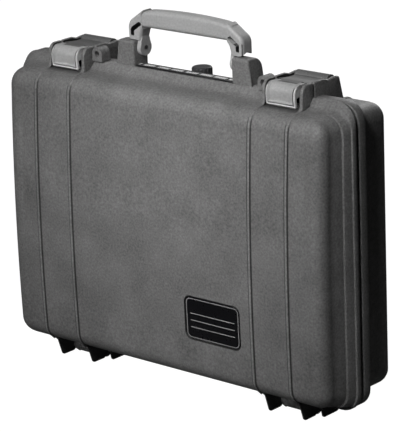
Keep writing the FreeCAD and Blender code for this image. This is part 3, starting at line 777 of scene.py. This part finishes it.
pitch = 2 * bay_half / knuckles_per_hinge
for number in range(knuckles_per_hinge):
    low_x = latch_x - bay_half + number * pitch + knuckle_gap / 2
    high_x = low_x + pitch - knuckle_gap
    owner = ("base", "lid")[number % 2]
    pair = [barrel(parting_y, hinge_z, *sorted((side * low_x, side * high_x)), knuckle_radius, knuckle_edge)
            for side in (-1, 1)]
    piece("%s_knuckles_%d" % (owner, number), merged(pair), owner, shell)


# Base tray. The back half of the case: the same moulding with its own flange, a groove where
# that meets the lid's, and a tongue round the rim that presses on the lid's gasket.
base_top = cavity_top + wall
base_flange_depth = 14.0
base_flange_inset = 0.5
seam_width = 3.2
seam_depth = 3.0
flange_edge = 1.5
tongue_half = 1.0
tongue_reach = 3.1
seal_line = 3.6
body_corner = 16.0
tongue_end_y = lid_rim_y - tongue_reach
flange_start_y = base_rim_y + seam_width
flange_end_y = base_rim_y + base_flange_depth


def flange_row(inward, y):
    """The ring of the base's flange, moved in by a share of its rounded edge."""
    inset = base_flange_inset + flange_edge * inward
    return (flange_half - inset, flange_floor + inset, flange_top - inset, flange_corner - inset, y)


base_rows = [cavity_row(0, base_face_y - wall - inner_rounding * (1 - along), inner_rounding * inward)
             for inward, along in quarter(5)[::-1]]
base_rows += [cavity_row(0, base_rim_y), cavity_row(seal_line - tongue_half, base_rim_y),
              cavity_row(seal_line - tongue_half, tongue_end_y),
              cavity_row(seal_line + tongue_half, tongue_end_y),
              cavity_row(seal_line + tongue_half, base_rim_y)]
for seam_y in (base_rim_y, flange_start_y):
    base_rows.append((flange_half - seam_depth, flange_floor + seam_depth,
                      flange_top - base_flange_inset - flange_edge, flange_corner - seam_depth, seam_y))
for inward, along in quarter(4)[::-1]:
    base_rows.append(flange_row(inward, flange_start_y + flange_edge * (1 - along)))
for inward, along in quarter(4):
    base_rows.append(flange_row(inward, flange_end_y - flange_edge + flange_edge * along))
base_rows.append((body_half, stand_height, base_top, body_corner, flange_end_y))
for inward, along in quarter(7):
    inset = back_rounding * inward
    base_rows.append((body_half - inset, stand_height + inset, base_top - inset, body_corner - inset,
                      base_face_y - back_rounding + back_rounding * along))
base_points = relieved(tray_rings(base_rows, x_shares, z_shares), flange_top)
piece("base_tray", capped(base_points), "base", ribbed_shell, replaced=["base_shell"])


# Keeper ridges. A low wedge of the lid's moulding across each latch bay, which the hook of the
# lever draws down on.
keeper_inset = 11.3
keeper_length = 4.0
keeper_flat = 2.0
keeper_rise = 2.4
keeper_sink = 3.0
keeper_rounding = 0.6
keeper_room = 3.0
keeper_edge = 0.4
keeper_back_y = lid_rim_y - keeper_inset
keeper_top = bay_floor + keeper_rise
keeper = outline([(keeper_back_y - keeper_length, bay_floor - keeper_sink, 0),
                  (keeper_back_y - keeper_length, keeper_top, keeper_rounding),
                  (keeper_back_y - keeper_flat, keeper_top, keeper_rounding),
                  (keeper_back_y, bay_floor - keeper_sink, 0)], web_stride)
keeper_half = bay_half - keeper_room
ridges = [plate(keeper, side * latch_x - keeper_half, side * latch_x + keeper_half, keeper_edge)
          for side in (-1, 1)]
piece("lid_keepers", merged(ridges), "lid", shell)


# Handle ears. Two upright blocks moulded on the base's flange that carry the handle's pins,
# their backs rounded and their outer sides leaning in.
pivot = joints["handle_fold"]
ear_gap = 1.0
ear_low_width = 23.8
ear_high_width = 20.3
ear_rise = 7.7
ear_reach = 8.7
ear_front_rounding = 2.5
ear_back_rounding = 10.5
ear_edge = 2.2
ear_stride = 3.0
ear_inner = cad("valve_strip")[1].x + ear_gap
ear_top = pivot.z + ear_rise
ear_back_y = pivot.y + ear_reach
ear_front_y = base_rim_y - skin
ear_shape = outline([(ear_front_y, base_top, 0), (ear_front_y, ear_top, ear_front_rounding),
                     (ear_back_y, ear_top, ear_back_rounding), (ear_back_y, base_top, 0)], ear_stride)
ears = []
for side in (-1, 1):
    points, faces, caps = plate(ear_shape, ear_inner, ear_inner + ear_low_width, ear_edge, turns=6)
    outer_share = (points[..., 0] - ear_inner) / ear_low_width
    rise_share = np.clip((points[..., 2] - flange_top) / (ear_top - flange_top), 0, 1)
    points[..., 0] -= outer_share * rise_share * (ear_low_width - ear_high_width)
    points[..., 0] *= side
    ears.append((points, faces, caps))
piece("handle_ears", merged(ears), "base", shell)


# Latch levers. Satin mid-grey plates hung in front of each latch arm: a raised double rim round
# the sides and bottom, a shallow dished panel for the fingers, and a generous curve over the top.
lever_low, lever_high = cad("latch_lever_right")
lever_pin = joints["right_lever_pull"]
lever_half = 17.3
lever_thickness = 3.0
lever_lip = 1.0
lever_bend_rise = 9.0
lever_low_rounding = 6.0
lever_top_rounding = 9.0
lever_top_reach = 4.8
lever_stride = 0.45
lever_columns = 101
rim_places = (0, 0.5, 1.1, 1.4, 2.0, 2.3, 3.3, 4.1)
rim_heights = (-0.7, 0, 0, -1.2, -1.2, -0.2, -0.2, -1.3)
dish = 0.7
dish_place = 6.5
dish_reach = 4.5
dish_half = 13.5
plain_start = 20.0
plain_fade = 6.0
plain_sink = 0.1
plain_rim_share = 0.2
pale_rim = 1.2
pale_rim_edge = 0.5
groove_band_place = 2.0
groove_band_half = 0.35
groove_band_edge = 0.4
marks_start = 1.0
marks_full = 4.0
panel_share = 0.62
pale_rim_share = 0.55
groove_band_share = 0.45
lever_path = [(lever_low.y + lever_lip, lever_low.z, 0),
              (lever_low.y, lever_low.z + lever_bend_rise, lever_low_rounding),
              (lever_low.y, lever_high.z, lever_top_rounding),
              (lever_pin.y - lever_top_reach, lever_high.z, 0)]


def lever_marks(finish):
    """The rim paler, a darker band along the groove inside it, and the panel a little darker."""
    aside = finish.off(finish.off(finish.along("X")), latch_x)
    to_edge = finish.math("MINIMUM", lever_half - aside, finish.along("Z") - lever_low.z)
    below = finish.step(finish.along("Z"), lever_high.z - marks_start, lever_high.z - marks_full)
    rim = finish.step(to_edge, pale_rim + pale_rim_edge, pale_rim)
    groove = finish.step(finish.off(to_edge, groove_band_place), groove_band_half + groove_band_edge, groove_band_half)
    return panel_share + below * (pale_rim_share * rim - groove_band_share * groove)


def open_run(corners, stride):
    """The outline's points from its first corner to its last, without the way back."""
    closed = outline(corners, stride)
    end = np.array(corners[-1][:2], float)
    last = int(np.argmin(np.linalg.norm(closed - end, axis=1)))
    return closed[:last + 1]


def lever_plate(centre):
    """The plate as a grid: along the path and across the width, moved out of the path by a rim
    profile of the distance to the nearest edge, and in by a dish that is deepest near the bottom."""
    run = open_run(lever_path, lever_stride)
    ahead = np.gradient(run, axis=0)
    ahead /= np.linalg.norm(ahead, axis=1)[:, None]
    outward = np.stack((-ahead[:, 1], ahead[:, 0]), axis=-1)
    travel = np.concatenate(([0], np.cumsum(np.linalg.norm(np.diff(run, axis=0), axis=1))))
    across = np.linspace(-lever_half, lever_half, lever_columns)
    to_edge = np.minimum(lever_half - np.abs(across)[None, :], travel[:, None])
    height = np.interp(to_edge, rim_places, rim_heights)
    hollow = (np.exp(-((travel[:, None] - dish_place) / dish_reach) ** 2)
              * np.clip(1 - (across[None, :] / dish_half) ** 2, 0, 1))
    top_share = np.clip((travel[:, None] - plain_start) / plain_fade, 0, 1)
    plain = np.minimum(height, -plain_sink) * plain_rim_share
    height = height * (1 - top_share) + plain * top_share - dish * hollow
    outer = run[:, None, :] + outward[:, None, :] * height[..., None]
    inner = np.broadcast_to(run[:, None, :] - outward[:, None, :] * lever_thickness, outer.shape)
    x = np.broadcast_to(centre + across[None, :, None], outer.shape[:2] + (1,))
    top = np.concatenate((x, outer), axis=-1)
    bottom = np.concatenate((x, inner), axis=-1)
    return capped(np.concatenate((top, bottom[:, ::-1]), axis=1))


latch = moulded("satin_grey_plastic", "latch", (0.66, 0.66, 0.66), roughness=0.36, mottle=0.35, grain=0.04,
                marks=lever_marks)
cheek_inset = 2.0
cheek_rise = 8.0
cheek_foot_rounding = 2.0
cheek_reach = 5.0
cheek_rounding = 4.9
cheek_drop = 0.6
cheek_top_rounding = 8.0
cheek_width = 5.8
cheek_gap = 0.2
cheek_edge = 0.5
cheek_stride = 2.0
lever_cheek = outline([(lever_low.y + cheek_inset, lever_low.z + cheek_rise, cheek_foot_rounding),
                       (lever_pin.y, lever_pin.z - cheek_reach, 0),
                       (lever_pin.y + cheek_reach, lever_pin.z - cheek_reach, cheek_rounding),
                       (lever_pin.y + cheek_reach, lever_pin.z + cheek_reach, cheek_rounding),
                       (lever_low.y + cheek_inset, lever_high.z - cheek_drop, cheek_top_rounding)],
                      cheek_stride)
for name, side in (("left", -1), ("right", 1)):
    centre = side * latch_x
    parts = [lever_plate(centre)]
    for start in (centre - lever_half + cheek_gap, centre + lever_half - cheek_gap - cheek_width):
        parts.append(plate(lever_cheek, start, start + cheek_width, cheek_edge))
    piece("latch_lever_face_" + name, merged(parts), name + "_latch_lever", latch,
          replaced=["latch_lever_" + name])


# Handle grip. A soft mid-grey sleeve moulded over the handle's core, its top drooping to both
# ends and falling off a little more where it meets the shoulders.
grip_low, grip_high = cad("handle_grip")
grip_half = grip_high.x
grip_droop = 2.6
grip_end_fall = 1.6
grip_end_reach = 8.0
grip_end_length = 0.6
grip_end_share = 0.94
grip_edge = 4.5
grip_stride = 2.0
grip_rings = 41


def grip():
    """A rounded rectangle carried along X; its top falls by droop x (x / half length)^2."""
    section = outline([(grip_low.y, grip_low.z, grip_edge), (grip_high.y, grip_low.z, grip_edge),
                       (grip_high.y, grip_high.z, grip_edge), (grip_low.y, grip_high.z, grip_edge)],
                      grip_stride)
    inner_end = grip_half - grip_end_length
    x = np.concatenate(([-grip_half], np.linspace(-inner_end, inner_end, grip_rings), [grip_half]))
    centre = np.array(((grip_low.y + grip_high.y) / 2, (grip_low.z + grip_high.z) / 2))
    scale = np.where(np.abs(x) == grip_half, grip_end_share, 1.0)
    flat = centre + (section[None] - centre) * scale[:, None, None]
    rise = np.clip((flat[..., 1] - grip_low.z) / (grip_high.z - grip_low.z), 0, 1)
    end_share = np.clip((np.abs(x) - grip_half) / grip_end_reach + 1, 0, 1)
    fall = grip_droop * (x / grip_half) ** 2 + grip_end_fall * end_share ** 2
    flat[..., 1] -= rise * fall[:, None]
    return capped(np.concatenate((np.broadcast_to(x[:, None, None], flat.shape[:2] + (1,)), flat), axis=-1))


grip_finish = moulded("soft_grip", "grip", (0.4, 0.4, 0.4), roughness=0.6, mottle=0.35, grain=0.1)
piece("grip_sleeve", grip(), "handle", grip_finish, replaced=["handle_grip"])


# Nameplate. A thin black gloss plate glued into its recess on the lid's face, with a fine pale
# border line and a few plain ruled lines.
border_place = 1.5
border_half = 0.35
border_edge = 0.15
border_share = 0.7
ruled_heights = (12.0, 19.0, 26.0)
ruled_inset = 6.0
ruled_end = 0.2
ruled_half = 0.3
ruled_edge = 0.15
print_share = 0.8
plate_edge = 0.5
plate_columns = 9
plate_sheen = 0.2
dust_share = 0.2
plate_black = (0.004, 0.004, 0.005, 1)
print_grey = (0.5, 0.5, 0.5, 1)
plate_finish = Finish("black_gloss", "label")
across = plate_finish.along("X")
left_line = plate_low.x + ruled_inset
right_line = plate_high.x - ruled_inset
after_left = plate_finish.step(across, left_line, left_line + ruled_end)
past_right = plate_finish.step(across, right_line - ruled_end, right_line)
ruled = 0
for height in ruled_heights:
    from_line = plate_finish.off(plate_finish.along("Z"), plate_low.z + height)
    band = plate_finish.step(from_line, ruled_half + ruled_edge, ruled_half)
    ruled = band * after_left * (1 - past_right) + ruled
outside = plate_finish.plate_distance(plate_low, plate_high, plate_corner)
border = plate_finish.step(plate_finish.off(outside, -border_place), border_half + border_edge, border_half)
printed = plate_finish.math("MAXIMUM", ruled, border * border_share)
dust = plate_finish.noise(cells_per_metre=240.0, detail=4.0)
plate_finish.use("Base Color", plate_finish.blend(printed * print_share, plate_black, print_grey))
plate_finish.use("Roughness", plate_sheen + dust_share * dust)
plate_rows = []
for inward, along in quarter(4)[::-1]:
    inset = plate_edge * inward
    plate_rows.append((plate_reach.x - inset, plate_low.z + inset, plate_high.z - inset, plate_corner - inset,
                       plate_low.y + plate_edge - plate_edge * along))
plate_rows.append((plate_reach.x, plate_low.z, plate_high.z, plate_corner, plate_high.y))
plate_shares = np.linspace(-1, 1, plate_columns)
points = tray_rings(plate_rows, plate_shares, plate_shares, turns=8)
points[..., 0] += plate_middle.x
piece("nameplate_face", capped(crowned(points)), "lid", plate_finish, replaced=["nameplate"])


# Strip. A thin black plate that lies on the flange between the handle's ears, with a row of
# plain pale ticks in groups.
strip_low, strip_high = cad("valve_strip")
tick_pitch = 2.1
tick_share = 0.7
tick_edge_share = 0.1
tick_half = 2.3
tick_end = 0.4
groups_per_metre = 55.0
group_start_share = 0.21
group_gap_share = 0.16
group_edge_share = 0.04
strip_face = 0.2
strip_face_edge = 0.1
strip_corner = 0.4
strip_edge = 0.3
strip_sheen = 0.4
wear_share = 0.2
strip_black = (0.012, 0.012, 0.013, 1)
tick_white = (0.9, 0.9, 0.9, 1)
strip_finish = Finish("black_strip", "strip")
strip_x = strip_finish.along("X")
phase = strip_finish.math("FRACT", strip_x * (1 / tick_pitch))
tick = strip_finish.step(phase, tick_share, tick_share - tick_edge_share)
from_middle = strip_finish.off(strip_finish.along("Y"), (strip_low.y + strip_high.y) / 2)
band = strip_finish.step(from_middle, tick_half + tick_end, tick_half)
group = strip_finish.math("FRACT", strip_x * (groups_per_metre * MM) + group_start_share)
in_group = strip_finish.step(group, group_gap_share, group_gap_share + group_edge_share)
upper = strip_finish.step(strip_finish.along("Z"), strip_high.z - strip_face,
                          strip_high.z - strip_face + strip_face_edge)
strip_finish.use("Base Color", strip_finish.blend(tick * band * in_group * upper, strip_black, tick_white))
strip_wear = strip_finish.noise(cells_per_metre=300.0, detail=3.0)
strip_finish.use("Roughness", strip_sheen + wear_share * strip_wear)
strip_shape = outline([(strip_low.y, strip_low.z, 0), (strip_low.y, strip_high.z, strip_corner),
                       (strip_high.y, strip_high.z, strip_corner), (strip_high.y, strip_low.z, 0)], web_stride)
piece("strip_plate", plate(strip_shape, strip_low.x, strip_high.x, strip_edge), "base", strip_finish,
      replaced=["valve_strip"])


# Foam. Dark open-cell foam cut to the trays: an egg-crate sheet in the lid, and in the base a
# frame round the laptop's pocket on a plain pad, each a little rounded where it was cut.
foam_tone = (0.05, 0.05, 0.055)
foam_floor_share = 0.45
cell_share = 0.7
dusting_share = 0.4
foam_roughness = 0.85
cell_sheen_share = 0.1
foam_grain = 0.6
foam_gap = 0.3
foam_step = 2.6
foam_crease = 60
bump_pitch = 26.0
bump_half = 5.0
crate_edge = 2.0
crate_back_edge = 10.0
pad_edge = 1.5
pad_back_edge = 9.0
pad_sink = 0.6
pad_wide = 130.0
pad_tall = 90.0
pad_middle = 166.0
foam = Finish("open_cell_foam", "foam")
cells = foam.noise(cells_per_metre=1100.0, detail=2.0)
dusting = foam.noise(cells_per_metre=25.0, detail=3.0)
foam.use("Base Color", foam.shaded(foam_tone, foam_floor_share + cell_share * cells + dusting_share * dusting))
foam.use("Roughness", foam_roughness + cell_sheen_share * cells)
foam.raise_by(cells, foam_grain)
foam_corner = cavity_corner - foam_gap


def sheet_row(low, high, corner, inset, y):
    """The ring of a sheet between two corners, moved in."""
    return (high.x - inset, low.z + inset, high.z - inset, max(corner - inset, 0), y)


def foam_sheet(name, node, front, behind, edge, back_edge, height, body):
    """A sheet: an open face with its own height over the grid, rounded edges, and a flat back."""
    low, high = cad(node)
    toward = math.copysign(1, behind - front)
    rows = [sheet_row(low, high, foam_corner, edge * inward, front + toward * edge * (1 - along))
            for inward, along in quarter(4)[::-1]]
    rows += [sheet_row(low, high, foam_corner, back_edge * inward, behind - toward * back_edge * (1 - along))
             for inward, along in quarter(5)]
    first_half, first_low, first_high, _, first_y = rows[0]
    rows[0] = (first_half, first_low, first_high, 0, first_y)
    xs = np.linspace(-1, 1, int(2 * first_half / foam_step))
    zs = np.linspace(-1, 1, int((first_high - first_low) / foam_step))
    x = first_half * xs[None, :] + 0 * zs[:, None]
    z = (first_low + first_high) / 2 + (first_high - first_low) / 2 * zs[:, None] + 0 * xs[None, :]
    border = np.minimum(first_half - np.abs(x), np.minimum(z - first_low, first_high - z))
    fade = np.clip(border / (bump_pitch / 4), 0, 1)
    y = first_y + toward * height(x, z) * fade
    points, faces, caps = fronted(tray_rings(rows, xs, zs), np.stack((x, y, z), axis=-1))
    if body == "lid":
        points = crowned(points)
    made = piece(name, (points, faces, caps), body, foam, replaced=[node], crease=foam_crease)


def egg_crate(x, z):
    """Rows of rounded bumps: height = half height x (1 - cos x cos z) - half height, on the pitch."""
    turn = 2 * math.pi / bump_pitch
    return bump_half * (1 - np.cos(turn * x) * np.cos(turn * z)) - bump_half


def settled(x, z):
    """A plain sheet that has sunk a little in its middle: sink x cos x cos z."""
    return pad_sink * np.cos(x / pad_wide) * np.cos((z - pad_middle) / pad_tall)


crate_low, crate_high = cad("lid_foam")
foam_sheet("lid_egg_crate", "lid_foam", crate_high.y - bump_half, crate_low.y, crate_edge, crate_back_edge,
           egg_crate, "lid")
pad_low, pad_high = cad("base_foam_pad")
foam_sheet("base_pad", "base_foam_pad", pad_low.y, pad_high.y, pad_edge, pad_back_edge, settled, "base")

block_low, block_high = cad("base_foam_block")
pocket_side = 25.7
pocket_end = 17.2
pocket_corner = 7.0
block_edge = 2.0
nut_notch_half = 24.0
nut_notch_depth = 14.0
nut_notch_share = 0.12
pocket_low = block_low + Vector((pocket_side, 0, pocket_end))
pocket_high = block_high - Vector((pocket_side, 0, pocket_end))
block_rows = [sheet_row(pocket_low, pocket_high, pocket_corner, -block_edge * inward,
                        block_low.y + block_edge * (1 - along)) for inward, along in quarter(4)]
block_rows += [sheet_row(block_low, block_high, foam_corner, block_edge * inward,
                         block_low.y + block_edge * (1 - along)) for inward, along in quarter(4)[::-1]]
block_rows.append(sheet_row(block_low, block_high, foam_corner, 0, block_high.y))
block_rows.append(sheet_row(pocket_low, pocket_high, pocket_corner, 0, block_high.y))
even_shares = np.linspace(-1, 1, 91)
notch_shares = np.linspace(-nut_notch_share, nut_notch_share, 21)
block_shares = np.unique(np.concatenate((even_shares, notch_shares)))
points = tray_rings(block_rows, block_shares, np.linspace(-1, 1, 61))
notch = nut_notch_depth * np.clip(1 - (points[..., 0] / nut_notch_half) ** 2, 0, 1) ** 0.5
points[..., 2] = np.where(points[..., 2] > block_high.z - pocket_end / 2,
                          np.minimum(points[..., 2], block_high.z - notch), points[..., 2])
rings, around = points.shape[:2]
block = piece("base_foam_frame", (points, grid_faces(rings, around, loop=True), []), "base", foam,
              replaced=["base_foam_block"])


# Finishes of the parts that keep their CAD shape: drawn steel pins, satin latch arms and handle
#  frame, with painted shade inside the frame's slots, black valve parts, soft seals and the padlock eyes of the
#  shell's own plastic.
slot_x = 66.8
slot_bend_z = 355.0
slot_lean_share = 1.05
slot_half = 5.2
slot_edge = 0.6
slot_reach = 10.5
slot_end = 0.5
slot_depth = 0.4
slot_depth_edge = 0.6
slot_shade_share = 0.95
handle_front_y = cad("handle_frame")[0].y


def slot_shade(finish):
    """Painted shade inside the shoulders' slots: near a line that runs up and then leans inward."""
    upward = finish.along("Z")
    leaning = finish.math("MAXIMUM", upward - slot_bend_z, 0) * slot_lean_share
    aside = finish.off(finish.off(finish.along("X")) + leaning, slot_x)
    near = finish.step(aside, slot_half + slot_edge, slot_half)
    level = finish.step(finish.off(upward, slot_bend_z), slot_reach + slot_end, slot_reach)
    inside = finish.step(finish.along("Y"), handle_front_y + slot_depth,
                         handle_front_y + slot_depth + slot_depth_edge)
    return 1 - slot_shade_share * near * level * inside


handle_finish = moulded("satin_handle_plastic", "handle", (0.42, 0.42, 0.42), roughness=0.42, mottle=0.35,
                        grain=0.05, marks=slot_shade)
arm_finish = moulded("satin_dark_plastic", "latch", (0.13, 0.13, 0.13), roughness=0.45, mottle=0.4, grain=0.08)
valve_finish = moulded("black_plastic", "valve", (0.035, 0.035, 0.037), roughness=0.5, mottle=0.2, grain=0.08)
seal_finish = moulded("soft_black_rubber", "seal", (0.025, 0.025, 0.026), roughness=0.8, mottle=0.2, grain=0.1)
steel_tone = (0.6, 0.6, 0.61)
steel_floor_share = 0.8
drawn_share = 0.3
steel_roughness = 0.22
drawn_sheen_share = 0.2
steel = Finish("drawn_steel", "steel_pin", Metallic=1.0)
drawn = steel.noise(cells_per_metre=900.0, detail=3.0, stretch=(0.05, 1, 1))
steel.use("Base Color", steel.shaded(steel_tone, steel_floor_share + drawn_share * drawn))
steel.use("Roughness", steel_roughness + drawn_sheen_share * drawn)
kept = {"shell": shell, "latch": arm_finish, "handle": handle_finish, "grip": grip_finish,
        "valve": valve_finish, "seal": seal_finish, "steel_pin": steel}
for entry in frame["record"]["subparts"]:
    if entry["material_slot"] in kept:
        node = frame["nodes"][entry["node"]]
        node.data.materials.clear()
        node.data.materials.append(kept[entry["material_slot"]].material)
